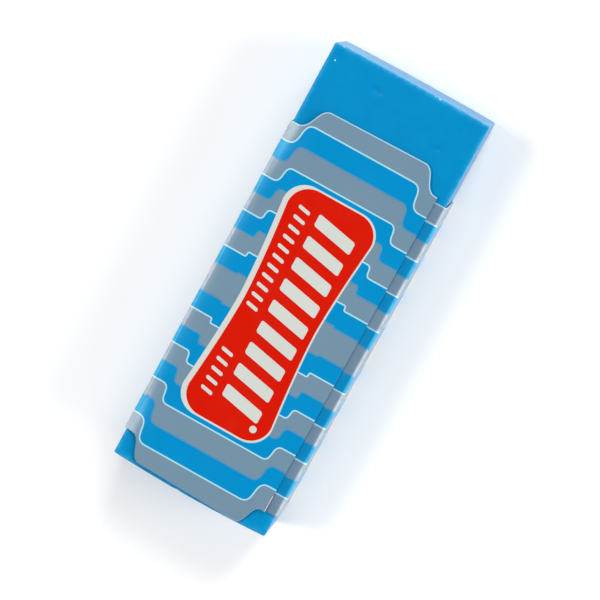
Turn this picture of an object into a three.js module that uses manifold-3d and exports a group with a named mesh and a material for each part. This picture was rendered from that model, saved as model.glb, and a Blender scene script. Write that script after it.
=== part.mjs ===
// Sleeved vinyl eraser: a soft block of plasticised vinyl in a wrapped film sleeve that slides along it.
//
// Millimetres, +Z up. The eraser lies on its back. +X runs along the block towards the bare end that
// rubs, +Z comes out of the printed face, and +Y runs across the width. The origin is under the middle
// of the block, in the plane of the sleeve's underside.

import * as THREE from "three";
import { RoundedBoxGeometry } from "three/addons/geometries/RoundedBoxGeometry.js";
import { mergeVertices } from "three/addons/utils/BufferGeometryUtils.js";
import Module from "manifold-3d";

// ---- Driving dimensions -------------------------------------------------------------------------

// The block, cut from an extruded slab.
const BLOCK_LENGTH = 62;
const BLOCK_WIDTH = 23;
const BLOCK_THICKNESS = 12;
const BLOCK_EDGE_RADIUS = 0.4;
const BLOCK_EDGE_STEPS = 3;

// The sleeve, one strip of film wrapped round the block and glued where its ends lap.
const FILM = 0.25; // thickness of one layer
const FOLD_RADIUS = 0.55; // outside of each fold
const SIDE_PLAY = 0.15; // from the block to the sleeve at each side
const FLOOR_PLAY = 0.05; // under the block
const ROOF_PLAY = 0.1; // from the block to the tucked end of the strip
const SEAM_INSET = 1.8; // from the sleeve's -Y side to the free edge of the upper layer
const SEAM_LAP = 7; // width of the glued lap
const FOLD_STEPS = 3; // per eighth of a turn

// The sleeve's cut ends. On the printed face each end runs out in a broad tongue between two S-shaped
// steps, and it is straight round the sides and the back. The reach of the shoulders and of the tongue is
// taken from the sleeve's centre at Y = 0. `skew` is how much X each end gains for each millimetre of Y on
// the face, since neither is cut quite square, and `drift` is how far round the back it slips towards -X.
const SLEEVE_CENTRE_X = -4.1;
const TONGUE_AXIS_Y = 0.5;
const BARE_END = {
  direction: 1, shoulder: 23.53, tongue: 26.9, halfWidth: 8.57, stepRun: 3.4, skew: -0.018, drift: 0.3,
}; // the end the block stands out of
const COVERED_END = {
  direction: -1, shoulder: 23.48, tongue: 26.66, halfWidth: 8.7, stepRun: 2.8, skew: 0.031, drift: 0.58,
}; // the end nearly flush with the block
const STEP_ROUNDING = 0.58; // 0 is a straight slope, 1 is upright in the middle
const STEP_SEGMENTS = 14;

// ---- Sizes that follow --------------------------------------------------------------------------

const HALF_WIDTH = BLOCK_WIDTH / 2 + SIDE_PLAY + FILM;
const BLOCK_FLOOR = FILM + FLOOR_PLAY;
const STRIP_TOP = BLOCK_FLOOR + BLOCK_THICKNESS + ROOF_PLAY + FILM; // outside of the tucked layer
const SLEEVE_TOP = STRIP_TOP + FILM; // outside of the upper layer
const SEAM_Y = -HALF_WIDTH + SEAM_INSET;
const TUCKED_Y = SEAM_Y + SEAM_LAP;
const SPLIT_Z = SLEEVE_TOP / 2; // the printed face's outline holds above, the back's below
const SPARE = 2; // how far cutting solids run past what they cut
const WELD = 1e-4; // points closer than this are one point

const wasm = await Module();
wasm.setup();

// ---- Geometry helpers ---------------------------------------------------------------------------

// A three.js geometry as a solid that can be joined and cut. Triangles that the weld closes up are left out.
function solidFrom(geometry) {
  const bare = new THREE.BufferGeometry();
  bare.setAttribute("position", geometry.getAttribute("position"));
  if (geometry.index) bare.setIndex(geometry.index);
  const welded = mergeVertices(bare, WELD);
  const triVerts = [];
  for (let i = 0; i < welded.index.count; i += 3) {
    const [a, b, c] = welded.index.array.subarray(i, i + 3);
    if (a !== b && b !== c && c !== a) triVerts.push(a, b, c);
  }
  return new wasm.Manifold(
    new wasm.Mesh({
      numProp: 3,
      vertProperties: new Float32Array(welded.attributes.position.array),
      triVerts: new Uint32Array(triVerts),
    }),
  );
}

// A solid back as a three.js geometry.
function geometryFrom(solid) {
  const mesh = solid.getMesh();
  const geometry = new THREE.BufferGeometry();
  geometry.setAttribute("position", new THREE.BufferAttribute(mesh.vertProperties, 3));
  geometry.setIndex(new THREE.BufferAttribute(mesh.triVerts, 1));
  geometry.computeVertexNormals();
  return geometry;
}

// One loop round the sleeve in the Y-Z plane, anticlockwise, with its four folds. The roof is stepped: it
// stands at `highRoof` on the +Y side of `stepY` and at `lowRoof` on the other side.
function traceLoop(path, halfWidth, floor, highRoof, lowRoof, stepY, radius) {
  const inner = halfWidth - radius;
  path.moveTo(stepY, lowRoof);
  path.lineTo(-inner, lowRoof);
  path.absarc(-inner, lowRoof - radius, radius, Math.PI / 2, Math.PI, false);
  path.lineTo(-halfWidth, floor + radius);
  path.absarc(-inner, floor + radius, radius, Math.PI, 1.5 * Math.PI, false);
  path.lineTo(inner, floor);
  path.absarc(inner, floor + radius, radius, -Math.PI / 2, 0, false);
  path.lineTo(halfWidth, highRoof - radius);
  path.absarc(inner, highRoof - radius, radius, 0, Math.PI / 2, false);
  path.lineTo(stepY, highRoof);
  path.closePath();
  return path;
}

// The wrapped strip as an endless tube. Its outside steps down at the free edge of the upper layer, and
// its inside steps down where the tucked end of the strip begins.
function wrappedTube() {
  const outside = traceLoop(
    new THREE.Shape(), HALF_WIDTH, 0, SLEEVE_TOP, STRIP_TOP, SEAM_Y, FOLD_RADIUS,
  );
  const inside = traceLoop(
    new THREE.Path(), HALF_WIDTH - FILM, FILM, SLEEVE_TOP - FILM, STRIP_TOP - FILM, TUCKED_Y,
    FOLD_RADIUS - FILM,
  );
  outside.holes.push(inside);
  const reach = BARE_END.tongue + SPARE;
  const tube = new THREE.ExtrudeGeometry(outside, {
    depth: 2 * reach,
    curveSegments: FOLD_STEPS,
    bevelEnabled: false,
  });
  const alongX = new THREE.Matrix4().makeBasis(
    new THREE.Vector3(0, 1, 0),
    new THREE.Vector3(0, 0, 1),
    new THREE.Vector3(1, 0, 0),
  );
  tube.applyMatrix4(alongX);
  tube.translate(SLEEVE_CENTRE_X - reach, 0, 0);
  return solidFrom(tube);
}

// Where a cut end lies at some place across the face, at the given reach from the sleeve's centre.
function cutAt(end, reach, y) {
  return SLEEVE_CENTRE_X + end.direction * reach + end.skew * y;
}

// Where a cut end lies on the -Y side, by which it has drifted.
function driftedCut(end) {
  return cutAt(end, end.shoulder, HALF_WIDTH) - end.drift;
}

// One S-shaped step between the reaches r0 at y0 and r1 at y1, level with the cut at both ends.
function traceStep(shape, end, r0, y0, r1, y1) {
  const pull = (y1 - y0) * STEP_ROUNDING;
  shape.bezierCurveTo(
    cutAt(end, r0, y0 + pull), y0 + pull, cutAt(end, r1, y1 - pull), y1 - pull, cutAt(end, r1, y1), y1,
  );
}

// One cut end of the printed face, traced across the width from -Y to +Y (or back, for the covered end).
function traceEnd(shape, end) {
  const { shoulder, tongue } = end;
  const run = end.stepRun / 2;
  const seamSide = TONGUE_AXIS_Y - end.halfWidth;
  const plainSide = TONGUE_AXIS_Y + end.halfWidth;
  const outerY = HALF_WIDTH + SPARE;
  if (end.direction > 0) {
    shape.moveTo(driftedCut(end), -outerY);
    shape.lineTo(driftedCut(end), SEAM_Y);
    shape.lineTo(cutAt(end, shoulder, SEAM_Y), SEAM_Y);
    shape.lineTo(cutAt(end, shoulder, seamSide - run), seamSide - run);
    traceStep(shape, end, shoulder, seamSide - run, tongue, seamSide + run);
    shape.lineTo(cutAt(end, tongue, plainSide - run), plainSide - run);
    traceStep(shape, end, tongue, plainSide - run, shoulder, plainSide + run);
    shape.lineTo(cutAt(end, shoulder, HALF_WIDTH), HALF_WIDTH);
    shape.lineTo(cutAt(end, shoulder, HALF_WIDTH), outerY);
  } else {
    shape.lineTo(cutAt(end, shoulder, HALF_WIDTH), outerY);
    shape.lineTo(cutAt(end, shoulder, HALF_WIDTH), HALF_WIDTH);
    shape.lineTo(cutAt(end, shoulder, plainSide + run), plainSide + run);
    traceStep(shape, end, shoulder, plainSide + run, tongue, plainSide - run);
    shape.lineTo(cutAt(end, tongue, seamSide + run), seamSide + run);
    traceStep(shape, end, tongue, seamSide + run, shoulder, seamSide - run);
    shape.lineTo(cutAt(end, shoulder, SEAM_Y), SEAM_Y);
    shape.lineTo(driftedCut(end), SEAM_Y);
    shape.lineTo(driftedCut(end), -outerY);
  }
}

// The flat outline of the printed face.
function faceOutline() {
  const shape = new THREE.Shape();
  traceEnd(shape, BARE_END);
  traceEnd(shape, COVERED_END);
  shape.closePath();
  return shape;
}

// The flat outline of the back: straight ends that drift between the two sides.
function backOutline() {
  const flatY = HALF_WIDTH - 2 * FILM;
  const outerY = HALF_WIDTH + SPARE;
  const shape = new THREE.Shape();
  shape.moveTo(driftedCut(BARE_END), -outerY);
  shape.lineTo(driftedCut(BARE_END), -flatY);
  for (const end of [BARE_END, COVERED_END]) {
    const square = cutAt(end, end.shoulder, HALF_WIDTH);
    const sides = [[square, flatY], [square, outerY]];
    for (const [x, y] of end.direction > 0 ? sides : sides.reverse()) shape.lineTo(x, y);
  }
  shape.lineTo(driftedCut(COVERED_END), -flatY);
  shape.lineTo(driftedCut(COVERED_END), -outerY);
  shape.closePath();
  return shape;
}

// A solid with the given outline in plan, between two heights.
function prism(outline, low, high) {
  const geometry = new THREE.ExtrudeGeometry(outline, {
    depth: high - low,
    curveSegments: STEP_SEGMENTS,
    bevelEnabled: false,
  });
  geometry.translate(0, 0, low);
  return solidFrom(geometry);
}

// ---- Pieces -------------------------------------------------------------------------------------

// The block: square to the eye, with its edges just broken.
function eraserBlock() {
  const geometry = new RoundedBoxGeometry(
    BLOCK_LENGTH, BLOCK_WIDTH, BLOCK_THICKNESS, BLOCK_EDGE_STEPS, BLOCK_EDGE_RADIUS,
  );
  const material = new THREE.MeshStandardMaterial({ color: 0x008fd0, roughness: 0.62, metalness: 0 });
  const mesh = new THREE.Mesh(geometry, material);
  mesh.name = "eraser_block";
  mesh.position.z = BLOCK_FLOOR + BLOCK_THICKNESS / 2;
  return mesh;
}

// The sleeve: the wrapped tube, cut at both ends.
function sleeve() {
  const face = prism(faceOutline(), SPLIT_Z, SLEEVE_TOP + SPARE);
  const back = prism(backOutline(), -SPARE, SPLIT_Z);
  const cut = wrappedTube().intersect(face.add(back));
  const material = new THREE.MeshStandardMaterial({ color: 0x0a96d7, roughness: 0.28, metalness: 0 });
  const mesh = new THREE.Mesh(geometryFrom(cut), material);
  mesh.name = "sleeve";
  return mesh;
}

const eraser = new THREE.Group();
eraser.add(eraserBlock(), sleeve());

export default eraser;
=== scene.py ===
"""A sleeved vinyl eraser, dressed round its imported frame.

The block is a slab of soft blue vinyl. The sleeve is one strip of printed film, wrapped round the block
and glued along a lap on its printed face, with the two ends cut in a broad tongue between S-shaped steps.

Shapes are worked out in millimetres and turned into metres where a mesh is made. +X runs along the block
towards its bare end, +Z comes out of the printed face, and +Y runs across, away from the sleeve's seam.
"""

import logging
import math
from dataclasses import dataclass, field, replace
from enum import Enum
from itertools import pairwise, product

import bpy
import numpy as np
from mathutils import Matrix, Vector, noise
from mathutils.geometry import delaunay_2d_cdt


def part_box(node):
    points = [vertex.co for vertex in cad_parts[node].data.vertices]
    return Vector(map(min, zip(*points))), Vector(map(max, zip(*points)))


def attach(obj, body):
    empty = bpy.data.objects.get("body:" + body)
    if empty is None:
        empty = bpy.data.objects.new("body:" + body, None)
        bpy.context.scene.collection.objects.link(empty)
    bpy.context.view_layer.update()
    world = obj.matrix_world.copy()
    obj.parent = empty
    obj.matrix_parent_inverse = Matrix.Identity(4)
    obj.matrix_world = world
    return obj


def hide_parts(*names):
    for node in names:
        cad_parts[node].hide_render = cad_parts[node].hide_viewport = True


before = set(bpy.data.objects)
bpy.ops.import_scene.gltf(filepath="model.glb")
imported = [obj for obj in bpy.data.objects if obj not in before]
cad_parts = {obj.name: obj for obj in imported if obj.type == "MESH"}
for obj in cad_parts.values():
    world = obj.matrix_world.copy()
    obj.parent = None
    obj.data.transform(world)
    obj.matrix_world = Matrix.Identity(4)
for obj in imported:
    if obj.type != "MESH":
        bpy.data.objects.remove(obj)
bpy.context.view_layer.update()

MM = 0.001
LIES_ALONG = 0.6  # a face whose normal has at least this cosine with the true surface's lies along it
LEAST_STEP = 1e-3  # two points of a line that are closer than this count as one
ROUND_OFF = 1e-6  # a place that is off by less than this is where it should be
LOG = logging.getLogger("eraser")

Point = tuple[float, float]
Outline = list[Point]
Colour = tuple[float, float, float, float]


def in_mm(corner: Vector) -> Vector:
    """A corner of a frame box, in millimetres."""
    return Vector(corner) / MM


def smooth_share(value: np.ndarray | float, low: float, high: float) -> np.ndarray:
    """How far a value has come from `low` to `high`, from 0 to 1, with soft ends.

    Args:
        value: The value or values.
        low: Where the share starts to rise.
        high: Where the share reaches 1.

    Returns:
        The share, in the shape of `value`.
    """
    share = np.clip((np.asarray(value, float) - low) / (high - low), 0.0, 1.0)
    return share * share * (3.0 - 2.0 * share)


# ---- Finishes ---------------------------------------------------------------------------------------


@dataclass(frozen=True)
class Mottling:
    """Noise carried to a range: its lumps, its finer layers, its low and high, and what those give."""

    size_mm: float
    detail: float
    span: Point
    ends: Point


@dataclass(frozen=True)
class Unevenness:
    """A layer of bumps: its lumps, its finer layers, its height, and how its lumps are drawn out."""

    size_mm: float
    detail: float
    height_mm: float
    stretch: tuple[float, float, float] | None = None


class NodeBench:
    """A material's node tree, with short ways to add and join nodes."""

    def __init__(self, name: str) -> None:
        """Start a material with a Principled shader.

        Args:
            name: The material's name.
        """
        self.material = bpy.data.materials.new(name)
        self.material.use_nodes = True
        self.nodes = self.material.node_tree.nodes
        self.links = self.material.node_tree.links
        self.shader = self.nodes["Principled BSDF"]
        self.place = self.add("ShaderNodeTexCoord").outputs["Object"]

    def add(self, kind: str, **inputs: object) -> bpy.types.Node:
        """Add a node and fill its inputs.

        Args:
            kind: The node's type.
            **inputs: Values or sockets by input name, with _ for a space.

        Returns:
            The new node.
        """
        node = self.nodes.new(kind)
        for name, value in inputs.items():
            self.fill(node.inputs[name.replace("_", " ")], value)
        return node

    def fill(self, socket: bpy.types.NodeSocket, value: object) -> None:
        """Join an output to an input, or set the input's own value.

        Args:
            socket: The input.
            value: An output to join to it, or a plain value.
        """
        if isinstance(value, bpy.types.NodeSocket):
            self.links.new(value, socket)
        else:
            socket.default_value = value

    def grain(
        self, size_mm: float, detail: float, stretch: tuple[float, float, float] | None = None
    ) -> bpy.types.NodeSocket:
        """Noise whose lumps are about `size_mm` across.

        Args:
            size_mm: The size of one lump.
            detail: How many finer layers it carries.
            stretch: How much longer the lumps are along each axis, if at all.

        Returns:
            The noise's value.
        """
        place = self.place
        if stretch is not None:
            scale = [1.0 / length for length in stretch]
            place = self.add("ShaderNodeMapping", Vector=place, Scale=scale).outputs[0]
        lumps = self.add("ShaderNodeTexNoise", Vector=place, Scale=1.0 / (size_mm * MM), Detail=detail)
        return lumps.outputs["Fac"]

    def ramp(
        self, value: bpy.types.NodeSocket, low: float, high: float, start: float, end: float
    ) -> bpy.types.NodeSocket:
        """Carry a value from one range to another, and stop at its ends.

        Args:
            value: The value.
            low: The value that gives `start`.
            high: The value that gives `end`.
            start: The result at `low`.
            end: The result at `high`.

        Returns:
            The result.
        """
        node = self.add("ShaderNodeMapRange", Value=value, From_Min=low, From_Max=high)
        self.fill(node.inputs["To Min"], start)
        self.fill(node.inputs["To Max"], end)
        return node.outputs["Result"]

    def mottle(self, mottling: Mottling) -> bpy.types.NodeSocket:
        """Noise carried to a range.

        Args:
            mottling: The noise and the range.

        Returns:
            The result.
        """
        return self.ramp(self.grain(mottling.size_mm, mottling.detail), *mottling.span, *mottling.ends)

    def times(self, a: object, b: object) -> bpy.types.NodeSocket:
        """Multiply two values.

        Args:
            a: A value or a socket.
            b: Another.

        Returns:
            The product.
        """
        node = self.add("ShaderNodeMath")
        node.operation = "MULTIPLY"
        self.fill(node.inputs[0], a)
        self.fill(node.inputs[1], b)
        return node.outputs[0]

    def blend(self, share: object, first: object, second: object) -> bpy.types.NodeSocket:
        """Blend two colours.

        Args:
            share: 0 for all of the first, 1 for all of the second.
            first: The first colour.
            second: The second colour.

        Returns:
            The blended colour.
        """
        node = self.add("ShaderNodeMix")
        node.data_type = "RGBA"
        self.fill(node.inputs["Factor"], share)
        self.fill(node.inputs["A"], first)
        self.fill(node.inputs["B"], second)
        return node.outputs["Result"]

    def mark(self, name: str) -> bpy.types.NodeSocket:
        """Read the number that the mesh holds at each point.

        Args:
            name: What the mesh calls it.

        Returns:
            The number.
        """
        node = self.add("ShaderNodeAttribute")
        node.attribute_name = name
        return node.outputs["Fac"]

    def spot(self, at_mm: Vector, radius_mm: float, softness: float = 0.2) -> bpy.types.NodeSocket:
        """A round spot with a soft rim.

        Args:
            at_mm: Its middle, in the frame.
            radius_mm: Its radius.
            softness: How far its rim spreads each way, as a share of the radius.

        Returns:
            1 inside the spot and 0 outside.
        """
        gap = self.add("ShaderNodeVectorMath")
        gap.operation = "DISTANCE"
        self.fill(gap.inputs[0], self.place)
        self.fill(gap.inputs[1], at_mm * MM)
        radius = radius_mm * MM
        return self.ramp(gap.outputs["Value"], (1 - softness) * radius, (1 + softness) * radius, 1.0, 0.0)

    def relief(self, layers: tuple[Unevenness, ...]) -> None:
        """Stack layers of bumps and give them to the shader.

        Args:
            layers: The layers, lowest first.
        """
        normal = None
        for layer in layers:
            height = self.grain(layer.size_mm, layer.detail, layer.stretch)
            bump = self.add("ShaderNodeBump", Height=height, Strength=1.0, Distance=layer.height_mm * MM)
            if normal is not None:
                self.fill(bump.inputs["Normal"], normal)
            normal = bump.outputs["Normal"]
        self.fill(self.shader.inputs["Normal"], normal)

    def set(self, **inputs: object) -> None:
        """Fill the shader's own inputs."""
        for name, value in inputs.items():
            self.fill(self.shader.inputs[name.replace("_", " ")], value)


def colour(red: float, green: float, blue: float) -> Colour:
    """A display colour, from 0 to 255 a channel, as the linear colour that a shader takes.

    Args:
        red: The red share.
        green: The green share.
        blue: The blue share.

    Returns:
        Linear red, green and blue, and an alpha of 1.
    """
    linear = []
    for channel in (red, green, blue):
        share = channel / 255.0
        linear.append(share / 12.92 if share <= 0.04045 else ((share + 0.055) / 1.055) ** 2.4)
    return (*linear, 1.0)


@dataclass(frozen=True)
class PrintedInk:
    """One ink on the glossy film, or the bare film where `fold_wear_and_sheen` is None; that colour pales
    the folds, partly as wear and partly as painted highlight.
    """

    name: str
    tint: Colour
    mottled: Colour
    # paler colour along the folds: partly worn ink, partly a painted highlight of the bright fold
    fold_wear_and_sheen: Colour | None = None
    gloss: Colour = (1.0, 1.0, 1.0, 1.0)
    # painted shade for the tucked layer next to the free edge, and how strongly it is mixed in
    painted_shade: Colour = (0.0, 0.03, 0.1, 1.0)
    painted_shade_share: float = 0.38
    smear: Mottling = Mottling(2.5, 3.0, (0.35, 0.7), (0.22, 0.27))
    patches: Mottling = Mottling(9.0, 1.0, (0.3, 0.7), (0.0, 0.4))
    dots: Mottling = Mottling(0.09, 1.0, (0.4, 0.6), (0.0, 0.25))
    # how unevenly the folds pale: partly wear, partly painted highlight
    rubbing: Mottling = Mottling(1.2, 3.0, (0.35, 0.65), (0.55, 0.95))
    bumps: tuple[Unevenness, ...] = (
        Unevenness(5.0, 1.0, 0.012, (1.6, 1.0, 1.0)),
        Unevenness(0.09, 1.0, 0.0008),
    )

    def material(self) -> bpy.types.Material:
        """Make the ink's material: faint mottling, a halftone's grain, folds paled partly by wear and
        partly by painted highlight, painted shade on the tucked layer, and a film that isn't quite flat.

        Returns:
            The material.
        """
        bench = NodeBench(self.name)
        shade = bench.blend(bench.mottle(self.patches), self.tint, self.mottled)
        shade = bench.blend(bench.mottle(self.dots), shade, self.mottled)
        if self.fold_wear_and_sheen is not None:
            # paler along the folds: partly worn ink, partly a painted highlight where the fold catches the
            # light
            rubbed = bench.times(bench.mark("fold"), bench.mottle(self.rubbing))
            shade = bench.blend(rubbed, shade, self.fold_wear_and_sheen)
            # painted shade: darkens the tucked layer next to the free edge above it
            shade = bench.blend(bench.times(bench.mark("painted_shade"), self.painted_shade_share), shade, self.painted_shade)
        bench.set(Base_Color=shade, Roughness=bench.mottle(self.smear), IOR=1.5, Specular_Tint=self.gloss)
        bench.relief(self.bumps)
        return bench.material


@dataclass(frozen=True)
class Chip:
    """A speck where the vinyl's skin has broken and shows pale."""

    at: Vector
    radius: float
    pale: float


@dataclass(frozen=True)
class SoftVinyl:
    """The block's own stuff: soft, waxy and dyed through."""

    name: str = "blue_vinyl"
    tint: Colour = colour(0, 129, 182)
    deep: Colour = colour(0, 122, 176)
    rubbed: Colour = colour(70, 178, 225)
    chalk: Colour = colour(190, 225, 240)
    gloss: Colour = (0.3, 0.8, 1.0, 1.0)
    clouds: Mottling = Mottling(4.0, 4.0, (0.3, 0.7), (0.0, 0.8))
    rubbing: Mottling = Mottling(0.8, 3.0, (0.35, 0.65), (0.05, 0.35))
    skin: Mottling = Mottling(0.7, 5.0, (0.3, 0.7), (0.3, 0.42))
    bumps: tuple[Unevenness, ...] = (
        Unevenness(2.6, 2.0, 0.012),
        Unevenness(0.5, 3.0, 0.003, (8.0, 1.0, 1.0)),
        Unevenness(0.12, 2.0, 0.002),
    )

    def material(self, chips: list[Chip]) -> bpy.types.Material:
        """Make the vinyl's material: cloudy dye, a fine skin, paler edges and a few pale chips.

        Args:
            chips: The pale chips along the edges.

        Returns:
            The material.
        """
        bench = NodeBench(self.name)
        shade = bench.blend(bench.mottle(self.clouds), self.tint, self.deep)
        edges = bench.times(bench.mark("edge"), bench.mottle(self.rubbing))
        shade = bench.blend(edges, shade, self.rubbed)
        for chip in chips:
            shade = bench.blend(bench.times(bench.spot(chip.at, chip.radius), chip.pale), shade, self.chalk)
        bench.set(Base_Color=shade, Roughness=bench.mottle(self.skin), IOR=1.5, Specular_IOR_Level=0.25)
        bench.set(Specular_Tint=self.gloss, Sheen_Weight=0.06, Sheen_Roughness=0.35)
        bench.relief(self.bumps)
        return bench.material


MATT_SMEAR = replace(PrintedInk.smear, ends=(0.4, 0.5))


class Ink(Enum):
    """What shows on each patch of the sleeve, in the order of its material slots."""

    # Each printed ink's third colour is its paler fold colour: partly wear, partly a painted highlight of
    # the fold.
    BLUE = PrintedInk(
        "ink_blue", colour(0, 130, 185), colour(0, 124, 180), colour(60, 174, 218),
        gloss=(0.35, 0.85, 1.0, 1.0),
    )
    GREY = PrintedInk("ink_grey", colour(105, 132, 151), colour(100, 127, 146), colour(190, 198, 206))
    FADE = PrintedInk("ink_fade", colour(76, 132, 169), colour(71, 127, 163), colour(140, 187, 211))
    KEYLINE = PrintedInk(
        "ink_keyline", colour(159, 203, 216), colour(152, 196, 211), colour(222, 238, 244)
    )
    RED = PrintedInk(
        "ink_red", colour(197, 18, 0), colour(190, 15, 0), colour(228, 110, 92),
        gloss=(1.0, 0.6, 0.45, 1.0),
    )
    OFF_WHITE = PrintedInk(
        "ink_off_white", colour(195, 198, 192), colour(188, 191, 185), colour(220, 220, 215)
    )
    INSIDE = PrintedInk(
        "film_inside", colour(218, 220, 218), colour(208, 210, 209), smear=MATT_SMEAR
    )
    CUT_EDGE = PrintedInk(
        "film_cut_edge", colour(158, 186, 206), colour(140, 168, 190), smear=MATT_SMEAR
    )

    @property
    def slot(self) -> int:
        """This ink's place among the sleeve's material slots."""
        return list(Ink).index(self)


# ---- Mesh making ------------------------------------------------------------------------------------


@dataclass
class MeshParts:
    """A mesh on its way: points in millimetres, faces, each face's slot, and named numbers per point.

    `facing` may hold the way that the true surface faces at each point. It shades every face that lies
    along that surface.
    """

    points: list[Vector] = field(default_factory=list)
    facing: list[Vector] = field(default_factory=list)
    faces: list[tuple[int, ...]] = field(default_factory=list)
    slots: list[int] = field(default_factory=list)
    marks: dict[str, list[float]] = field(default_factory=dict)

    def build(self, name: str, materials: list[bpy.types.Material], crease_deg: float) -> bpy.types.Object:
        """Turn the parts into an object in the scene, in metres.

        Args:
            name: The piece's name.
            materials: The material for each slot.
            crease_deg: The angle above which an edge stays sharp.

        Returns:
            The object.
        """
        mesh = bpy.data.meshes.new(name)
        mesh.from_pydata([p * MM for p in self.points], [], self.faces)
        mesh.validate()
        for material in materials:
            mesh.materials.append(material)
        mesh.polygons.foreach_set("material_index", self.slots)
        mesh.polygons.foreach_set("use_smooth", [True] * len(mesh.polygons))
        for mark, values in self.marks.items():
            mesh.attributes.new(mark, "FLOAT", "POINT").data.foreach_set("value", values)
        mesh.set_sharp_from_angle(angle=math.radians(crease_deg))
        mesh.update()
        if self.facing:
            mesh.normals_split_custom_set(self.corner_normals(mesh))
        made = bpy.data.objects.new(name, mesh)
        bpy.context.scene.collection.objects.link(made)
        return made

    def corner_normals(self, mesh: bpy.types.Mesh) -> list[Vector]:
        """Choose the normal for each corner of each face.

        Args:
            mesh: The mesh made from these parts.

        Returns:
            The true surface's normal for a face that lies along it, and the face's own for any other.
        """
        normals = []
        for face in mesh.polygons:
            for corner in face.vertices:
                true = self.facing[corner]
                normals.append(true if true.dot(face.normal) > LIES_ALONG else face.normal.copy())
        return normals


def arc(centre: Point, radii: Point, start_deg: float, end_deg: float, steps: int) -> Outline:
    """Points along part of an ellipse, both ends included.

    Args:
        centre: The ellipse's centre.
        radii: Its half-sizes along the two axes.
        start_deg: The angle of the first point.
        end_deg: The angle of the last point.
        steps: How many chords the arc has.

    Returns:
        The points.
    """
    angles = np.radians(np.linspace(start_deg, end_deg, steps + 1))
    return [(centre[0] + radii[0] * math.cos(a), centre[1] + radii[1] * math.sin(a)) for a in angles]


def inside(outline: Outline, at: np.ndarray) -> np.ndarray:
    """Which of many points a closed outline holds.

    Args:
        outline: The outline's corners, in order.
        at: The points, one row each.

    Returns:
        True for each point inside.
    """
    ring = np.array(outline)
    held = np.zeros(len(at), bool)
    for (x0, y0), (x1, y1) in zip(ring, np.roll(ring, -1, axis=0)):
        if y0 == y1:
            continue
        spans = (y0 > at[:, 1]) != (y1 > at[:, 1])
        held ^= spans & (at[:, 0] < (x1 - x0) * (at[:, 1] - y0) / (y1 - y0) + x0)
    return held


# ---- The block --------------------------------------------------------------------------------------


@dataclass(frozen=True)
class Dent:
    """A small hollow in the block's surface."""

    at: Vector
    radius: float
    depth: float


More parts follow.
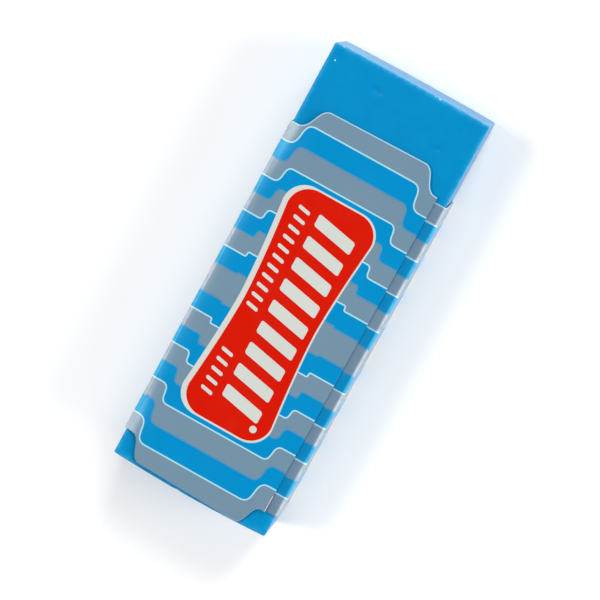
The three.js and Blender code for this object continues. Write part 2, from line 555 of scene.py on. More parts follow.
@dataclass
class EraserBlock:
    """The slab of vinyl: square cut, edges just broken, faces never quite flat."""

    low: Vector
    high: Vector
    edge_radius: float = 0.25
    edge_steps: int = 4
    spacings: tuple[Point, ...] = ((0.8, 0.18), (0.25, 0.25), (0.6, 0.3))
    fine_run: float = 7.0
    edge_wear: Point = (0.05, 0.75)
    skin_mm: float = 0.035
    skin_size_mm: float = 7.0
    bare_bow: float = 0.12
    covered_bow: float = 0.34
    bow_run: float = 6.0
    vinyl: SoftVinyl = field(default_factory=SoftVinyl)

    @property
    def centre(self) -> Vector:
        """The block's middle."""
        return (self.low + self.high) / 2

    @property
    def half(self) -> Vector:
        """The block's half-sizes."""
        return (self.high - self.low) / 2

    def from_corner(self, end: float, side: float, down: float = 0.0) -> Vector:
        """A place, by how far it is from the bare end, from the +Y side and down from the printed face."""
        return self.high - Vector((end, side, down))

    def dents(self) -> list[Dent]:
        """The nicks that handling has left round the two ends.

        Returns:
            The dents, in the frame.
        """
        length, width = 2 * self.half.x, 2 * self.half.y
        return [
            Dent(self.from_corner(3.1, 7.7), 0.4, 0.18),
            Dent(self.from_corner(3.3, 8.3), 0.32, 0.12),
            Dent(self.from_corner(6.1, 18.2), 0.42, 0.12),
            Dent(self.from_corner(0.0, 3.0), 0.3, 0.07),
            Dent(self.from_corner(0.0, 9.6), 0.5, 0.03),
            Dent(self.from_corner(0.0, 16.1), 0.3, 0.08),
            Dent(self.from_corner(0.0, 20.5, 0.1), 0.3, 0.04),
            Dent(self.from_corner(6.0, width), 0.5, 0.05),
            Dent(self.from_corner(0.0, width - 1.5, 5.0), 0.8, 0.05),
            Dent(self.from_corner(length, 9.9), 0.5, 0.07),
        ]

    def chips(self) -> list[Chip]:
        """The pale specks on and beside the ends' edges.

        Returns:
            The chips, in the frame.
        """
        length = 2 * self.half.x
        return [
            Chip(self.from_corner(2.15, 1.1), 0.1, 0.9),
            Chip(self.from_corner(0.02, 1.3, 0.05), 0.15, 0.4),
            Chip(self.from_corner(-0.05, 15.6, 0.05), 0.17, 0.55),
            Chip(self.from_corner(0.0, 14.9, 0.03), 0.09, 0.4),
            Chip(self.from_corner(length + 0.27, 9.9, 0.05), 0.12, 0.35),
        ]

    def stations(self, half: float, spacing: float, fine: float) -> list[float]:
        """Where the surface is divided along one axis: finely over the rounded edges, evenly between.

        Args:
            half: Half the block's size along the axis.
            spacing: The step over the flat.
            fine: The step over the stretch next to the high end.

        Returns:
            The places, lowest first.
        """
        flat = half - self.edge_radius
        bend = [flat + self.edge_radius * math.tan(math.pi / 4 * i / self.edge_steps)
                for i in range(1, self.edge_steps + 1)]
        near = flat - self.fine_run
        coarse = np.linspace(-flat, near, max(2, round((near + flat) / spacing)) + 1)
        close = np.linspace(near, flat, max(2, round(self.fine_run / fine)) + 1)[1:]
        return [-b for b in reversed(bend)] + list(coarse) + list(close) + bend

    def rounded(self, raw: Vector) -> tuple[Vector, Vector]:
        """A point of the square block carried onto the rounded one.

        Args:
            raw: A point on the square block's surface, from its centre.

        Returns:
            The point on the rounded block, and the way that its surface faces.
        """
        flat = self.half - Vector((self.edge_radius,) * 3)
        core = Vector([max(-f, min(f, r)) for f, r in zip(flat, raw)])
        out = (raw - core).normalized()
        return core + out * self.edge_radius, out

    def bow(self, at: Vector) -> float:
        """How far the soft ends bulge past square.

        Args:
            at: A place on the block, in the frame.

        Returns:
            How far that place moves along x.
        """
        off = at - self.centre
        bulge = self.bare_bow if off.x > 0 else -self.covered_bow
        near_end = float(smooth_share(abs(off.x), self.half.x - self.bow_run, self.half.x))
        return bulge * near_end * (1.0 - (off.y / self.half.y) ** 2)

    def edge_share(self, raw: Vector) -> float:
        """How near a point is to an edge.

        Args:
            raw: A point on the square block's surface, from its centre.

        Returns:
            The nearness, from 0 on the flat to 1 on the rounding.
        """
        gaps = sorted(h - abs(r) for h, r in zip(self.half, raw))
        return 1.0 - float(smooth_share(gaps[1], *self.edge_wear))

    def finish_point(self, raw: Vector, dents: list[Dent]) -> tuple[Vector, float]:
        """Carry a point onto the finished surface.

        Args:
            raw: A point on the square block's surface, from its centre.
            dents: The dents to press in.

        Returns:
            The point in the frame, and its nearness to an edge.
        """
        at, out = self.rounded(raw)
        at += self.centre
        sink = self.skin_mm * (0.5 + 0.5 * noise.noise(at / self.skin_size_mm))
        for dent in dents:
            sink += dent.depth * math.exp(-((at - dent.at).length / dent.radius) ** 2)
        at -= out * sink
        at.x += self.bow(at)
        return at, self.edge_share(raw)

    def parts(self) -> MeshParts:
        """Build the block's surface.

        Returns:
            Its points, faces and marks.
        """
        lines = [self.stations(h, *s) for h, s in zip(self.half, self.spacings)]
        parts = MeshParts(marks={"edge": []})
        dents = self.dents()
        index: dict[tuple[float, float, float], int] = {}

        def corner(raw: Vector) -> int:
            """Make a point of the surface when it is first asked for.

            Args:
                raw: The point on the square block, from its centre.

            Returns:
                The point's number.
            """
            key = tuple(round(c, 5) for c in raw)
            if key not in index:
                at, edge = self.finish_point(raw, dents)
                index[key] = len(parts.points)
                parts.points.append(at)
                parts.marks["edge"].append(edge)
            return index[key]

        for axis in range(3):
            across, along = (axis + 1) % 3, (axis + 2) % 3
            cells = product((-1, 1), pairwise(lines[across]), pairwise(lines[along]))
            for sign, (a0, a1), (b0, b1) in cells:
                face = []
                for a, b in ((a0, b0), (a1, b0), (a1, b1), (a0, b1))[::sign]:
                    raw = Vector((0, 0, 0))
                    raw[axis] = sign * self.half[axis]
                    raw[across] = a
                    raw[along] = b
                    face.append(corner(raw))
                parts.faces.append(tuple(face))
                parts.slots.append(0)
        return parts

    def make(self) -> bpy.types.Object:
        """Build and dress the block, and set it on its body.

        Returns:
            The block.
        """
        block = self.parts().build("vinyl_block", [self.vinyl.material(self.chips())], crease_deg=60)
        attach(block, "block")
        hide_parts("eraser_block")
        return block


# ---- The sleeve -------------------------------------------------------------------------------------


@dataclass(frozen=True)
class FilmRoute:
    """The way that the strip's outside takes round the block, seen along +X.

    The strip starts at the free edge of the upper layer, crosses the printed face towards +Y, goes down
    that side, back under the block and up the other side, and ends tucked under its own start.
    """

    half_width: float
    top: float = 12.5
    film: float = 0.16
    fold_radius: float = 0.55
    seam_inset: float = 1.8
    lap: float = 7.0
    lap_gap: float = 0.02
    fold_steps: int = 9
    # how wide the paler band along each fold is: partly wear, partly painted highlight
    fold_wear_and_sheen_width: float = 0.3
    side_runs: tuple[int, int] = (2, 6)

    @property
    def seam_y(self) -> float:
        """Where the free edge of the upper layer lies."""
        return -self.half_width + self.seam_inset

    @property
    def spans(self) -> list[tuple[float, bool]]:
        """The strip's runs, from its free edge to its tucked one.

        Returns:
            Each run's length, and whether it is a fold.
        """
        inner = self.half_width - self.fold_radius
        side = self.top - 2 * self.fold_radius
        fold = (self.fold_radius * math.pi / 2, True)
        return [
            (inner - self.seam_y, False), fold, (side, False), fold, (2 * inner, False), fold,
            (side, False), fold, (self.seam_y + self.lap + inner, False),
        ]

    @property
    def length(self) -> float:
        """The whole strip, from edge to edge."""
        return sum(length for length, _ in self.spans)

    def starts(self) -> list[float]:
        """How far along the strip each run starts."""
        return [0.0, *np.cumsum([length for length, _ in self.spans])[:-1]]

    def fold_lines(self) -> list[float]:
        """Where the strip is divided so that its folds come out round.

        Returns:
            Places along the strip.
        """
        lines = []
        for start, (length, is_fold) in zip(self.starts(), self.spans):
            if is_fold:
                lines += list(np.linspace(start, start + length, self.fold_steps + 1))
        return lines

    def fold_share(self, along: float) -> float:
        """How near a place is to the middle of a fold.

        Args:
            along: How far along the strip it is.

        Returns:
            The nearness, from 0 to 1.
        """
        share = 0.0
        for start, (length, is_fold) in zip(self.starts(), self.spans):
            if is_fold:
                share += math.exp(-((along - start - length / 2) / self.fold_wear_and_sheen_width) ** 2)
        return share

    def at(self, along: float, depth: float) -> tuple[Vector, Vector]:
        """A place on the strip.

        Args:
            along: How far along the strip it is, or just short of its free edge if below 0.
            depth: How far below the outside it is.

        Returns:
            The place, and the way that the outside faces there, both with an x of 0.
        """
        place = Vector((0, self.seam_y, self.top))
        heading = 0.0
        for start, (length, is_fold) in zip(self.starts(), self.spans):
            part = min(along - start, length)
            run = Vector((0, math.cos(heading), math.sin(heading)))
            out = Vector((0, -math.sin(heading), math.cos(heading)))
            if is_fold:
                turn = part / self.fold_radius
                centre = place - out * self.fold_radius
                heading -= turn
                out = Vector((0, -math.sin(heading), math.cos(heading)))
                place = centre + out * self.fold_radius
            else:
                place = place + run * part
            if along <= start + length:
                break
        return place - out * depth, out


def s_step(start: Point, end: Point, rounding: float, steps: int) -> Outline:
    """A smooth step from one level to another, level at both ends.

    Args:
        start: The first point, as (across, reach).
        end: The last point.
        rounding: 0 for a straight slope, towards 1 for an upright middle.
        steps: How many chords it has.

    Returns:
        The points, both ends included.
    """
    (v0, d0), (v1, d1) = start, end
    pull = (v1 - v0) * rounding
    points = []
    for t in np.linspace(0, 1, steps + 1):
        a, b, c, d = (1 - t) ** 3, 3 * t * (1 - t) ** 2, 3 * t * t * (1 - t), t ** 3
        points.append((a * v0 + b * (v0 + pull) + c * (v1 - pull) + d * v1, (a + b) * d0 + (c + d) * d1))
    return points


@dataclass(frozen=True)
class EndCut:
    """One end of the sleeve: a tongue on the printed face between two S-shaped steps.

    The reach of its shoulders and of its tongue is taken from the sleeve's middle at y = 0. Neither end is
    cut square: `skew` is what it gains along x for each millimetre of y, and `drift` is how far it slips
    towards -X on its way round the back.
    """

    direction: int
    shoulder: float
    tongue: float
    half_width: float
    step_run: float
    skew: float
    drift: float
    rounding: float = 0.58
    axis_y: float = 0.5
    steps: int = 28

    def edge(self) -> Outline:
        """The cut across the printed face, before its skew.

        Returns:
            Points as (y, reach), from the seam's side to the other.
        """
        run = self.step_run / 2
        rise = s_step((self.axis_y - self.half_width - run, self.shoulder),
                      (self.axis_y - self.half_width + run, self.tongue), self.rounding, self.steps)
        fall = s_step((self.axis_y + self.half_width - run, self.tongue),
                      (self.axis_y + self.half_width + run, self.shoulder), self.rounding, self.steps)
        return rise + fall


def shifted(line: Outline, distance: float) -> Outline:
    """A line moved sideways, towards greater reach for a distance above 0.

    Args:
        line: Points in order of their place across.
        distance: How far it moves.

    Returns:
        The moved points, still in order.
    """
    at = np.array(line)
    run = np.gradient(at, axis=0)
    side = np.stack([-run[:, 1], run[:, 0]], axis=1)
    side /= np.linalg.norm(side, axis=1, keepdims=True)
    moved = at + side * distance
    kept = [tuple(moved[0])]
    for point in moved[1:]:
        if point[0] > kept[-1][0] + LEAST_STEP:
            kept.append(tuple(point))
    return kept


@dataclass(frozen=True)
class WaveBands:
    """The printed bands, parted by eight nested waves either side of the sleeve's middle.

    Each wave has a level over the middle of the face and a nearer one at the sides, with an S-shaped step
    between them that grows from wave to wave.
    """

    axis_y: float = 1.03
    corner: float = 7.17
    first_side: float = 2.02
    side_pitch: float = 2.66
    first_middle: float = 2.27
    middle_pitch: float = 3.10
    step_growth: float = 0.4
    rounding: float = 0.84
    keyline: float = 0.2
    fade: float = 0.2
    least_run: float = 0.2
    least_steps: int = 10
    more_steps: int = 2
    count: int = 8

    def wave(self, number: int) -> Outline:
        """One wave as a line across the face, by its distance from the sleeve's middle.

        Args:
            number: The wave, counted from the middle.

        Returns:
            Points as (across, reach), from the seam's side to the other.
        """
        side = self.first_side + self.side_pitch * number
        middle = self.first_middle + self.middle_pitch * number
        run = max(self.least_run, self.step_growth * number)
        steps = self.least_steps + self.more_steps * number
        rise = s_step((-self.corner - run, side), (-self.corner, middle), self.rounding, steps)
        fall = [(-v, d) for v, d in reversed(rise)]
        return [(self.axis_y + v, d) for v, d in rise + fall]

    def lines(self) -> list[tuple[Outline, Ink]]:
        """The lines between inks, nearest the middle first.

        Returns:
            Each line, with the ink that lies beyond it.
        """
        made: list[tuple[Outline, Ink]] = []
        for number in range(self.count):
            wave = self.wave(number)
            outlined = number % 2 == 1
            width = self.keyline if outlined else self.fade
            between = Ink.KEYLINE if outlined else Ink.FADE
            beyond = Ink.GREY if outlined else Ink.BLUE
            made.append((shifted(wave, -width / 2), between))
            made.append((shifted(wave, width / 2), beyond))
        return made


@dataclass(frozen=True)
class BarRow:
    """A row of slanted bars across the panel, all places taken from the panel's middle.

    A bar runs across from `low` to `high`, is `thickness` along the sleeve, and is `slant` further along at
    its high end than at its low one. No corner loses more than the share `most_softening` of the thickness.
    """

    first: float
    pitch: float
    count: int
    low: float
    high: float
    thickness: float
    slant: float
    softening: float = 0.2
    most_softening: float = 0.3

    def bars(self, middle: Point) -> list[Outline]:
        """Lay the bars out, with softened corners.

        Args:
            middle: The panel's middle, as (y, x).

        Returns:
            Each bar's outline, as (y, x).
        """
        cut = min(self.softening, self.thickness * self.most_softening)
        half = self.thickness / 2
        low, high = middle[0] + self.low, middle[0] + self.high
        square = [
            (low, -half + cut), (low + cut, -half), (high - cut, -half), (high, -half + cut),
            (high, half - cut), (high - cut, half), (low + cut, half), (low, half - cut),
        ]
        lean = self.slant / (high - low)
        bars = []
        for i in range(self.count):
            x = middle[1] + self.first - self.pitch * i
            bars.append([(y, x + dx + (y - (low + high) / 2) * lean) for y, dx in square])
        return bars


@dataclass(frozen=True)
class Label:
    """The red panel in the middle of the printed face, waisted along its long sides."""

    centre: Point
    half_length: float = 17.1
    end_half_width: float = 6.72
    waist_half_width: float = 5.73
    corner: float = 3.2
    corner_loss: float = 0.5
    waist_power: float = 1.5
    keyline: float = 0.25
    shade_line: float = 0.75
    side_steps: int = 10
    corner_steps: int = 9
    rows: tuple[BarRow, ...] = (
        BarRow(12.9, 3.2, 9, -4.5, 1.45, 1.75, 1.2),
        BarRow(13.8, 1.45, 11, 2.6, 4.4, 0.5, 0.36),
        BarRow(-7.6, 1.45, 5, 2.6, 4.4, 0.5, 0.36),
    )
    dot_at: Point = (-4.4, -15.0)
    dot_radius: float = 0.5
    dot_sides: int = 24

    def panel(self, end_inset: float, seam_inset: float, far_inset: float) -> Outline:
        """The panel's outline, drawn in by some distance.

        Args:
            end_inset: How far the two ends are drawn in.
            seam_inset: How far the side nearest the seam is drawn in.
            far_inset: How far the other side is drawn in.

        Returns:
            Points as (y, x), in order.
        """
        length = self.half_length - end_inset
        corner = self.corner - self.corner_loss * end_inset
        flat = length - corner
        outline: Outline = []
        for sign, inset in ((1, far_inset), (-1, seam_inset)):
            widths = []
            for x in np.linspace(-flat, flat, 2 * self.side_steps + 1):
                spread = (self.end_half_width - self.waist_half_width) * (abs(x) / flat) ** self.waist_power
                widths.append((self.waist_half_width + spread - inset, x))
            wide = widths[0][0]
            low = arc((wide - corner, -flat), (corner, corner), -90, 0, self.corner_steps)
            high = arc((wide - corner, flat), (corner, corner), 0, 90, self.corner_steps)
            side = low + widths[1:-1] + high
            if sign < 0:
                side = [(-v, x) for v, x in reversed(side)]
            outline += side
        return [(self.centre[0] + v, self.centre[1] + x) for v, x in outline]

    def border(self) -> Outline:
        """The outside of the pale line round the panel."""
        return self.panel(0.0, 0.0, 0.0)

    def red_patch(self) -> Outline:
        """The red itself, set over towards the seam so that the pale line is broad on its far side."""
        return self.panel(self.keyline, self.keyline, self.shade_line)

    def motif(self) -> list[Outline]:
        """The plain pattern on the red: a row of broad bars, two rows of fine ones, and a dot.

        Returns:
            The outlines of everything that is off-white on the red, as (y, x).
        """
        middle = (self.centre[0] + self.dot_at[0], self.centre[1] + self.dot_at[1])
        last = 360 - 360 / self.dot_sides
        dot = arc(middle, (self.dot_radius, self.dot_radius), 0, last, self.dot_sides - 1)
        return [bar for row in self.rows for bar in row.bars(self.centre)] + [dot]


@dataclass(frozen=True)
class FilmSpring:
    """How springy film stands off the block. Heights and runs are in millimetres.

    A layer picks one of many patterns of noise.
    """

    lap_start: float = -0.2
    lap_fall: float = 9.0
    tuck_run: float = 1.5
    dome: float = 0.17
    end_dome: float = 0.2
    end_run: float = 6.0
    dome_rise: float = 1.2
    dome_fade: Point = (3.0, 12.0)
    ripple: float = 0.02
    ripple_run: Point = (6.0, 9.0)
    ripple_layer: float = 0.3
    curl: Point = (0.01, 0.02)
    curl_run: Point = (0.8, 3.0)
    curl_layer: float = 1.7
    corner: float = 0.16
    corner_run: Point = (1.1, 1.6)
    side_ripple: float = 0.04
    side_ripple_run: Point = (5.0, 8.0)
    side_ripple_layer: float = 4.0


@dataclass
class PrintedSleeve:
    """The strip of film: cut, printed, wrapped and glued."""

    low: Vector
    high: Vector
    block_top: float
    rest_gap: float = 0.05
    snug: float = 0.12
    skew: float = 0.35
    # pale line just inside the bare end's cut, in keyline ink: partly print, partly a painted highlight of
    # the lit cut edge
    rim_keyline_and_highlight: float = 0.08
    # painted highlight on the free edge's lifted corner at the covered end: its width and length, and how
    # far it runs past the shoulder
    painted_glint: Point = (0.065, 2.1)
    painted_glint_overrun: float = 1.0
    # painted shade on the tucked layer: where it starts and where it is full, measured from that layer's
    # start
    painted_shade_reach: Point = (-0.5, 0.4)
    cut_bevel: float = 0.06
    strip_rise: float = 0.08
    face_grid: float = 1.5
    dome_grid: float = 0.8
    dome_rows: tuple[float, ...] = (0.15, 0.4, 0.7, 1.05, 1.5, 2.1)
    plain_grid: float = 3.0
    grid_inset: float = 0.9
    grid_stagger: float = 0.13
    grid_turn: float = 7.0
    fold_overrun: float = 0.4
    slope_step: float = 0.02
    spring: FilmSpring = FilmSpring()
    bands: WaveBands = field(default_factory=WaveBands)
    middle_x: float = -4.05
    bare_end: EndCut = EndCut(1, 23.51, 26.81, 8.53, 3.4, skew=-0.018, drift=0.3)
    covered_end: EndCut = EndCut(-1, 23.6, 26.78, 8.7, 2.8, skew=0.031, drift=0.58)

    def __post_init__(self) -> None:
        """Work out what follows from the sleeve's size."""
        route = FilmRoute(half_width=(self.high.y - self.low.y) / 2 - self.snug)
        self.route = replace(route, top=self.block_top + self.rest_gap + route.film)
        self.label = Label(centre=(self.bands.axis_y, 0.0))

    @property
    def face_length(self) -> float:
        """How much of the strip lies on the printed face, from the free edge to the first fold."""
        return self.route.spans[0][0]

    def along(self, y: float) -> float:
        """How far along the strip a place on the printed face is."""
        return y - self.route.seam_y

    def laid_out(self, line: Outline, direction: int) -> Outline:
        """A line across the face, carried on to both edges of the flat strip.

        Args:
            line: Points as (y, reach), in order of y.
            direction: 1 for the half of the strip nearest the bare end, -1 for the other.

        Returns:
            Points as (along, x), from the free edge to the tucked one.
        """
        flat = [(self.along(y), direction * reach) for y, reach in line]
        over_face = [p for p in flat if p[0] > LEAST_STEP]
        return [(0.0, flat[0][1]), *over_face, (self.route.length, flat[-1][1])]

    def cut_line(self, end: EndCut, inset: float = 0.0) -> Outline:
        """The sleeve's cut end, on the flat strip's printed side.

        Args:
            end: Which end.
            inset: How far inside the printed side's edge the line lies.

        Returns:
            Points as (along, x), from the free edge to the tucked one.
        """
        line = shifted(end.edge(), -inset - self.cut_bevel)
        face = [(self.along(y), end.direction * reach + end.skew * y) for y, reach in line]
        level = end.direction * line[-1][1]
        free = (0.0, level + end.skew * self.route.seam_y)
        side = level + end.skew * self.route.half_width
        starts = self.route.starts()
        seam = side - end.drift + self.skew
        return [free, *face, (starts[1], side), (starts[-1], seam), (self.route.length, seam)]

    def painted_glint_corner(self) -> Outline:
        """A painted highlight: the sliver of the free edge, at its covered end, where the lifted corner
        catches the light.

        Returns:
            Its two free sides, as points at (along, x).
        """
        width, length = self.painted_glint
        reach = self.covered_end.shoulder
        return [(width, -reach - self.painted_glint_overrun), (width, length - reach), (0.0, length - reach)]

    def fill_points(self) -> Outline:
        """Places inside the strip that give its faces enough points to bend.

        Returns:
            Points as (along, x).
        """
        places = []
        run = self.face_length
        rows = [(s, self.face_grid) for s in np.linspace(0, run, round(run / self.face_grid) + 1)[1:-1]]
        rows += [(run - inset, self.dome_grid) for inset in self.dome_rows]
        for start, (length, is_fold) in list(zip(self.route.starts(), self.route.spans))[1:]:
            if not is_fold:
                count = round(length / self.plain_grid)
                rows += [(s, self.plain_grid) for s in np.linspace(start, start + length, count + 1)[1:-1]]
        reach = self.covered_end.shoulder - self.grid_inset
        for s, step in rows:
            for i, x in enumerate(np.linspace(-reach, reach, round(2 * reach / step) + 1)):
                stagger = self.grid_stagger * math.sin(self.grid_turn * s + i)
                places.append((float(s), float(x) + stagger))
        return places

    def flat_pattern(self) -> tuple[np.ndarray, list[tuple[int, int, int]]]:
        """Divide the flat strip into triangles that follow every printed line and every fold.

        Returns:
            The points as (along, x), and the triangles.
        """
        points: Outline = []
        edges: list[tuple[int, int]] = []

        def draw(line: Outline, closed: bool = False) -> None:
            """Add a line that the triangles must follow.

            Args:
                line: Points as (along, x).
                closed: Whether its end joins its start.
            """
            first = len(points)
            points.extend(line)
            edges.extend((first + i, first + i + 1) for i in range(len(line) - 1))
            if closed:
                edges.append((len(points) - 1, first))

        draw(self.cut_line(self.bare_end) + self.cut_line(self.covered_end)[::-1], closed=True)
        # the pale line along the bare end's cut: partly print, partly painted highlight
        draw(self.cut_line(self.bare_end, self.rim_keyline_and_highlight))
        # outline of the painted highlight on the free edge's lifted corner
        draw(self.painted_glint_corner())
        for direction in (-1, 1):
            for line, _ in self.bands.lines():
                draw(self.laid_out(line, direction))
        reach = self.bare_end.shoulder + self.fold_overrun
        for s in self.route.fold_lines():
            draw([(s, -reach), (s, reach)])
        for shape in [self.label.border(), self.label.red_patch(), *self.label.motif()]:
            draw([(self.along(y), x) for y, x in shape], closed=True)
        points.extend(self.fill_points())
        flat = delaunay_2d_cdt([Vector(p) for p in points], edges, [], 0, 1e-5, False)
        at = np.array([tuple(v) for v in flat[0]])
        triangles = np.array([tuple(f) for f in flat[2]])
        middles = at[triangles].mean(axis=1)
        high = np.interp(middles[:, 0], *np.array(self.cut_line(self.bare_end)).T)
        low = np.interp(middles[:, 0], *np.array(self.cut_line(self.covered_end)).T)
        kept = (middles[:, 1] < high) & (middles[:, 1] > low)
        return at, [tuple(int(i) for i in t) for t in triangles[kept]]

    def inks(self, middles: np.ndarray) -> list[int]:
        """The ink on each triangle of the flat strip.

        Args:
            middles: The triangles' middles, as (along, x).

        Returns:
            Each one's material slot.
        """
        slots = np.full(len(middles), Ink.GREY.slot)
        reach = np.abs(middles[:, 1])
        for line, beyond in self.bands.lines():
            limit = np.interp(middles[:, 0], *np.array(self.laid_out(line, 1)).T)
            slots[reach > limit] = beyond.slot
        # the pale line along the bare end's cut, in keyline ink: partly print, partly a painted highlight
        # where the cut edge catches the light
        rim = np.interp(middles[:, 0], *np.array(self.cut_line(self.bare_end, self.rim_keyline_and_highlight)).T)
        slots[middles[:, 1] > rim] = Ink.KEYLINE.slot
        (width, _), (_, end), _ = self.painted_glint_corner()
        # painted highlight on the free edge's lifted corner, in the inside film's pale colour
        slots[(middles[:, 0] < width) & (middles[:, 1] < end)] = Ink.INSIDE.slot
        on_face = np.stack([middles[:, 0] + self.route.seam_y, middles[:, 1]], axis=1)
        slots[inside(self.label.border(), on_face)] = Ink.OFF_WHITE.slot
        slots[inside(self.label.red_patch(), on_face)] = Ink.RED.slot
        for shape in self.label.motif():
            slots[inside(shape, on_face)] = Ink.OFF_WHITE.slot
        return [int(s) for s in slots]

    def swell(self, along: float, x: float, run: Point, layer: float) -> float:
        """A smooth swell over the film.

        Args:
            along: How far along the strip the place is.
            x: The place along the sleeve, from its middle.
            run: How long a swell is, along the strip and along the sleeve.
            layer: Which of many patterns.

        Returns:
            The swell, from 0 to 2.
        """
        return 1.0 + noise.noise(Vector((along / run[0], x / run[1], layer)))

    def face_relief(self, along: float, x: float) -> float:
        """How far the upper layer stands off its plain route on the printed face.

        It lies on the tucked layer, domes up beside the far fold, most of all at the sleeve's two ends,
        and its free edge curls.

        Args:
            along: How far along the strip the place is.
            x: The place along the sleeve, from its middle.

        Returns:
            The height, outwards.
        """
        route, spring = self.route, self.spring
        lift = route.film + route.lap_gap + self.strip_rise
        past_lap = along - route.lap
        lift *= 1.0 - float(smooth_share(past_lap, spring.lap_start, spring.lap_fall))
        inset = self.face_length - along
        near_end = math.exp(-((self.bare_end.shoulder - abs(x)) / spring.end_run) ** 2)
        dome = (spring.dome + spring.end_dome * near_end) * (1.0 - math.exp(-inset / spring.dome_rise))
        dome *= 1.0 - float(smooth_share(inset, *spring.dome_fade))
        flat = math.sin(math.pi * along / self.face_length)
        ripple = spring.ripple * self.swell(along, x, spring.ripple_run, spring.ripple_layer) * flat
        free = math.exp(-(along / spring.curl_run[0]) ** 2)
        steady, uneven = spring.curl
        wander = noise.noise(Vector((x / spring.curl_run[1], spring.curl_layer, 0.0)))
        curl = max(free * (steady + uneven * wander), 0.0)
        far = (x + self.covered_end.shoulder) / spring.corner_run[1]
        corner = spring.corner * math.exp(-(along / spring.corner_run[0]) ** 2 - far ** 2)
        return lift + dome + ripple + curl + corner

    def relief(self, along: float, x: float) -> float:
        """How far the film stands off its plain route: it is sprung, handled film, never quite flat.

        Args:
            along: How far along the strip the place is.
            x: The place along the sleeve, from its middle.

        Returns:
            The height, outwards.
        """
        if along < self.face_length:
            return self.face_relief(along, x)
        spring, starts = self.spring, self.route.starts()
        if along > starts[-1]:
            return self.strip_rise * float(smooth_share(along - starts[-1], 0.0, spring.tuck_run))
        for side in self.route.side_runs:
            share = (along - starts[side]) / self.route.spans[side][0]
            if 0.0 < share < 1.0:
                ripple = self.swell(along, x, spring.side_ripple_run, spring.side_ripple_layer)
                return spring.side_ripple * math.sin(math.pi * share) * ripple
        return 0.0

    def painted_shade_share(self, along: float) -> float:
        """How much painted shade the film carries: the tucked layer is darkened next to the free edge above
        it, standing in for that edge's shade.

        Args:
            along: How far along the strip the place is.

        Returns:
            The share, from 0 for no painted shade to 1.
        """
        return float(smooth_share(along - self.route.starts()[-1], *self.painted_shade_reach))

    def drift(self, along: float) -> float:
        """How far the wrap has drifted from square.

        Args:
            along: How far along the strip the place is.

        Returns:
            The drift along x.
        """
        starts = self.route.starts()
        return -self.skew * min(max((along - starts[1]) / (starts[-1] - starts[1]), 0.0), 1.0)

    def wrapped(self, along: float, x: float, depth: float) -> Vector:
        """A point of the flat strip, wrapped round the block.

        Args:
            along: How far along the strip it is.
            x: Its place along the sleeve, from the sleeve's middle.
            depth: How far below the film's outside it is.

        Returns:
            The point in the frame.
        """
        place, out = self.route.at(along, depth)
        place += out * self.relief(along, x)
        place.x = self.middle_x + x + self.drift(along)
        return place

    def facing(self, along: float, x: float) -> Vector:
        """The way that the wrapped film's outside faces.

        Args:
            along: How far along the strip the place is.
            x: Its place along the sleeve, from the sleeve's middle.

        Returns:
            The way, as a unit vector.
        """
        step = self.slope_step
        round_run = self.wrapped(along + step, x, 0.0) - self.wrapped(along - step, x, 0.0)
        long_run = self.wrapped(along, x + step, 0.0) - self.wrapped(along, x - step, 0.0)
        return long_run.cross(round_run).normalized()

    def parts(self) -> MeshParts:
        """Build the wrapped film: its printed outside, its plain inside and its cut edges.

        Returns:
            The mesh's parts.
        """
        at, triangles = self.flat_pattern()
        used = sorted({i for t in triangles for i in t})
        renumber = {old: new for new, old in enumerate(used)}
        flat = at[used]
        count = len(used)
        faces = [tuple(renumber[i] for i in t) for t in triangles]
        rim = self.rim_edges(faces)
        foot = self.cut_foot(flat, rim)
        parts = MeshParts(marks={"fold": [], "painted_shade": []})
        parts.facing = [self.facing(float(s), float(x)) for s, x in flat]
        parts.facing += [-out for out in parts.facing]
        for s, x in flat:
            parts.points.append(self.wrapped(float(s), float(x), 0.0))
            # the fold mark pales the ink: partly wear, partly painted highlight
            parts.marks["fold"].append(self.route.fold_share(float(s)))
            # painted shade on the tucked layer next to the free edge
            parts.marks["painted_shade"].append(self.painted_shade_share(float(s)))
        for s, x in foot:
            parts.points.append(self.wrapped(float(s), float(x), self.route.film))
            parts.marks["fold"].append(0.0)
            parts.marks["painted_shade"].append(0.0)
        for (a, b, c), slot in zip(faces, self.inks(at[np.array(triangles)].mean(axis=1))):
            parts.faces.append((a, c, b))
            parts.slots.append(slot)
            parts.faces.append((a + count, b + count, c + count))
            parts.slots.append(Ink.INSIDE.slot)
        for a, b in rim:
            parts.faces.append((a, b, b + count, a + count))
            parts.slots.append(Ink.CUT_EDGE.slot)
        return parts

    def rim_edges(self, faces: list[tuple[int, ...]]) -> list[tuple[int, int]]:
        """The edges that only one triangle has: the strip's outline.

        Args:
            faces: The triangles.

        Returns:
            The edges, each in the order of its own triangle.
        """
        rim: dict[tuple[int, int], None] = {}
        for a, b, c in faces:
            for edge in ((a, b), (b, c), (c, a)):
                if edge[::-1] in rim:
                    del rim[edge[::-1]]
                else:
                    rim[edge] = None
        return list(rim)

    def cut_foot(self, flat: np.ndarray, rim: list[tuple[int, int]]) -> np.ndarray:
        """Where the film's underside ends: the knife leaves the cut ends leaning a little outwards.

        Args:
            flat: The outside's points, as (along, x).
            rim: The outline's edges.

        Returns:
            The underside's points, in the same order.
        """
        away = np.zeros_like(flat)
        for a, b in rim:
            run = flat[b] - flat[a]
            side = np.array([run[1], -run[0]]) / np.linalg.norm(run)
            away[a] += side
            away[b] += side
        away /= np.maximum(np.linalg.norm(away, axis=1, keepdims=True), ROUND_OFF)
        straight = (flat[:, 0] < ROUND_OFF) | (flat[:, 0] > self.route.length - ROUND_OFF)
        away[straight, 0] = 0.0
        return flat + self.cut_bevel * away

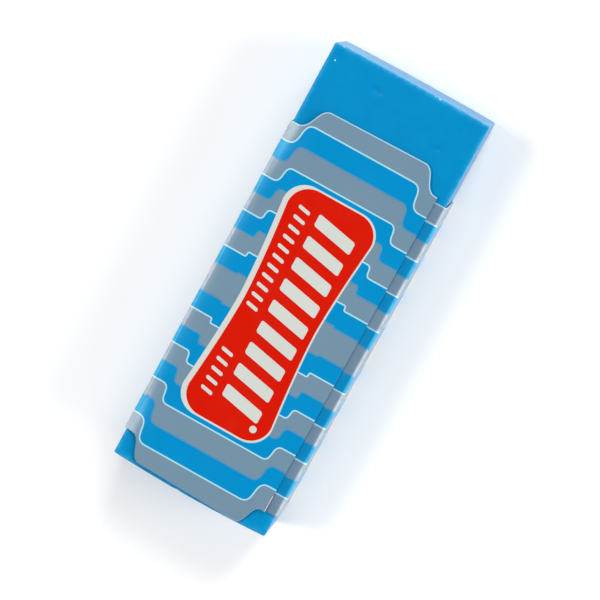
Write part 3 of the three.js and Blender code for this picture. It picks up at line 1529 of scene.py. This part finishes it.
    def make(self) -> bpy.types.Object:
        """Build and dress the sleeve, and set it on its body.

        Returns:
            The sleeve.
        """
        finishes = [ink.value.material() for ink in Ink]
        sleeve = self.parts().build("printed_sleeve", finishes, crease_deg=40)
        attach(sleeve, "sleeve")
        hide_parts("sleeve")
        return sleeve


# ---- The studio -------------------------------------------------------------------------------------


@dataclass(frozen=True)
class SoftLamp:
    """A soft lamp, far enough off to light the whole floor evenly."""

    name: str
    towards: Vector
    spread_deg: float
    strength: float

    def make(self) -> bpy.types.Object:
        """Hang the lamp.

        Returns:
            The lamp.
        """
        data = bpy.data.lights.new(self.name, "SUN")
        data.angle = math.radians(self.spread_deg)
        data.energy = self.strength
        lamp = bpy.data.objects.new(self.name, data)
        lamp.location = self.towards
        lamp.rotation_mode = "QUATERNION"
        lamp.rotation_quaternion = self.towards.to_track_quat("Z", "Y")
        bpy.context.scene.collection.objects.link(lamp)
        return lamp


@dataclass
class Studio:
    """A plain pale floor, soft light and the camera, in metres but for the lens and its sensor."""

    floor_size: float = 8.0
    floor_tone: Mottling = Mottling(40.0, 3.0, (0.3, 0.7), (0.0, 1.0))
    floor_colours: tuple[Colour, Colour] = ((0.96, 0.955, 0.95, 1.0), (0.94, 0.935, 0.93, 1.0))
    distance: float = 0.4386
    lean_x_deg: float = 8.09
    lean_y_deg: float = -3.38
    roll_deg: float = 28.65
    lens: float = 200.2
    sensor: float = 36.0
    aim: Vector = field(default_factory=lambda: Vector((-0.00098, -0.0006, 0.0123)))
    room_fade: Point = (0.15, 0.85)
    room_strength: Point = (1.0, 0.05)

    def lamps(self) -> list[SoftLamp]:
        """Choose the lamps.

        Returns:
            A key beyond the bare end, and one over each long side.
        """
        return [
            SoftLamp("key_lamp", Vector((0.88, -0.05, 0.7)), 30.0, 1.76),
            SoftLamp("sheen_lamp", Vector((-0.1, 0.55, 0.83)), 24.0, 1.4),
            SoftLamp("seam_lamp", Vector((0.2, -0.85, 0.5)), 33.0, 1.75),
        ]

    def floor_material(self) -> bpy.types.Material:
        """A pale matt board.

        Returns:
            The material.
        """
        bench = NodeBench("pale_board")
        shade = bench.blend(bench.mottle(self.floor_tone), *self.floor_colours)
        bench.set(Base_Color=shade, Roughness=0.9, IOR=1.3)
        return bench.material

    def make_floor(self) -> bpy.types.Object:
        """Lay the floor.

        Returns:
            The floor.
        """
        half = self.floor_size / 2
        mesh = bpy.data.meshes.new("floor")
        corners = [(-half, -half, 0), (half, -half, 0), (half, half, 0), (-half, half, 0)]
        mesh.from_pydata(corners, [], [(0, 1, 2, 3)])
        mesh.materials.append(self.floor_material())
        floor = bpy.data.objects.new("floor", mesh)
        bpy.context.scene.collection.objects.link(floor)
        return floor

    def make_world(self) -> None:
        """Light the room: pale round the horizon, darker overhead so that the film keeps its colours."""
        world = bpy.data.worlds.new("room")
        bpy.context.scene.world = world
        world.use_nodes = True
        nodes, links = world.node_tree.nodes, world.node_tree.links
        place = nodes.new("ShaderNodeTexCoord")
        split = nodes.new("ShaderNodeSeparateXYZ")
        fade = nodes.new("ShaderNodeMapRange")
        for name, pair in (("From", self.room_fade), ("To", self.room_strength)):
            fade.inputs[name + " Min"].default_value, fade.inputs[name + " Max"].default_value = pair
        links.new(place.outputs["Generated"], split.inputs[0])
        links.new(split.outputs["Z"], fade.inputs["Value"])
        links.new(fade.outputs["Result"], nodes["Background"].inputs["Strength"])
        nodes["Background"].inputs["Color"].default_value = (1.0, 1.0, 1.0, 1.0)

    def make_camera(self) -> bpy.types.Object:
        """Set the camera over the printed face, turned so that the eraser leans in the picture.

        Returns:
            The camera.
        """
        lean_x, lean_y = (math.tan(math.radians(a)) for a in (self.lean_x_deg, self.lean_y_deg))
        back = Vector((lean_x, lean_y, 1.0)).normalized()
        along = (Vector((1, 0, 0)) - back * back.x).normalized()
        across = back.cross(along)
        turn = math.radians(self.roll_deg)
        up = along * math.cos(turn) + across * math.sin(turn)
        right = up.cross(back)
        data = bpy.data.cameras.new("camera")
        data.lens = self.lens
        data.sensor_width = self.sensor
        data.clip_start, data.clip_end = 0.01, 50.0
        camera = bpy.data.objects.new("camera", data)
        axes = Matrix((right, up, back)).transposed()
        camera.matrix_world = Matrix.Translation(self.aim + back * self.distance) @ axes.to_4x4()
        bpy.context.scene.collection.objects.link(camera)
        bpy.context.scene.camera = camera
        return camera

    def make(self) -> None:
        """Set up the whole studio."""
        scene = bpy.context.scene
        scene.view_settings.view_transform = "Standard"
        self.make_floor()
        self.make_world()
        self.make_camera()
        for lamp in self.lamps():
            lamp.make()


def main() -> None:
    """Build the studio and the eraser's two pieces, and report each one."""
    logging.basicConfig(level=logging.INFO, format="%(name)s: %(message)s")
    Studio().make()
    block_low, block_high = (in_mm(c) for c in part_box("eraser_block"))
    sleeve_low, sleeve_high = (in_mm(c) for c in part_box("sleeve"))
    for piece in (EraserBlock(block_low, block_high), PrintedSleeve(sleeve_low, sleeve_high, block_high.z)):
        made = piece.make()
        triangles = sum(len(p.vertices) - 2 for p in made.data.polygons)
        LOG.info("%s: %d points, %d triangles", made.name, len(made.data.vertices), triangles)


if __name__ == "__main__":
    main()
